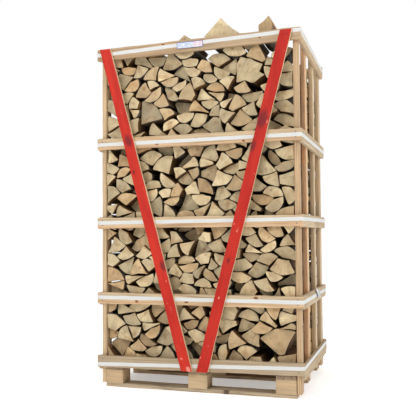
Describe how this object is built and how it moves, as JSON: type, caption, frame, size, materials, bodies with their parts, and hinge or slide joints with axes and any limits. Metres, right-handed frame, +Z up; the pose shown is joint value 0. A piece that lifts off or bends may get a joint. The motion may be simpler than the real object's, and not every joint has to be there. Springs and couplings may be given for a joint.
{
  "type": "crate of hornbeam firewood",
  "caption": "Tall slatted wooden crate on a pallet, filled with stacked split hornbeam firewood, strapped round and braced with red boards in a V.",
  "frame": {"origin": "middle of the base of the whole crate, on the ground", "axes": "+X to the right along the crate's wide front, +Y from the front with the red braces to the rear, +Z up"},
  "size_m": [1.2072, 0.9162, 2.0933],
  "materials": {
    "pallet_board": "rough sawn, weathered",
    "pallet_block": "rough sawn",
    "slat_wood": "rough sawn",
    "rail_wood": "sawn softwood",
    "brace_paint": "sawn board, painted red",
    "strap_webbing": "woven polyester",
    "buckle_steel": "galvanised wire",
    "label_paper": "matt paper",
    "firewood": "sawn ends, split sides, grey bark"
  },
  "bodies": {
    "root": {"bottom_board_front": "pallet_board", "bottom_board_middle": "pallet_board", "bottom_board_rear": "pallet_board", "block_front_left": "pallet_block", "block_front_middle": "pallet_block", "block_front_right": "pallet_block", "block_middle_left": "pallet_block", "block_middle_middle": "pallet_block", "block_middle_right": "pallet_block", "block_rear_left": "pallet_block", "block_rear_middle": "pallet_block", "block_rear_right": "pallet_block", "stringer_left": "pallet_board", "stringer_middle": "pallet_board", "stringer_right": "pallet_board", "deck_board_1": "pallet_board", "deck_board_2": "pallet_board", "deck_board_3": "pallet_board", "deck_board_4": "pallet_board", "deck_board_5": "pallet_board", "slat_left_1": "slat_wood", "slat_left_2": "slat_wood", "slat_left_3": "slat_wood", "slat_left_4": "slat_wood", "slat_right_1": "slat_wood", "slat_right_2": "slat_wood", "slat_right_3": "slat_wood", "slat_right_4": "slat_wood", "rail_front_1": "rail_wood", "rail_front_2": "rail_wood", "rail_front_3": "rail_wood", "rail_front_4": "rail_wood", "rail_front_5": "rail_wood", "rail_rear_1": "rail_wood", "rail_rear_2": "rail_wood", "rail_rear_3": "rail_wood", "rail_rear_4": "rail_wood", "rail_rear_5": "rail_wood", "rail_left_1": "rail_wood", "rail_left_2": "rail_wood", "rail_left_3": "rail_wood", "rail_left_4": "rail_wood", "rail_left_5": "rail_wood", "rail_right_1": "rail_wood", "rail_right_2": "rail_wood", "rail_right_3": "rail_wood", "rail_right_4": "rail_wood", "rail_right_5": "rail_wood", "brace_left": "brace_paint", "brace_right": "brace_paint", "strap_1": "strap_webbing", "strap_2": "strap_webbing", "strap_3": "strap_webbing", "strap_4": "strap_webbing", "strap_5": "strap_webbing", "strap_buckle": "buckle_steel", "label": "label_paper", "firewood_front": "firewood", "firewood_middle": "firewood", "firewood_rear": "firewood"}
  },
  "joints": []
}
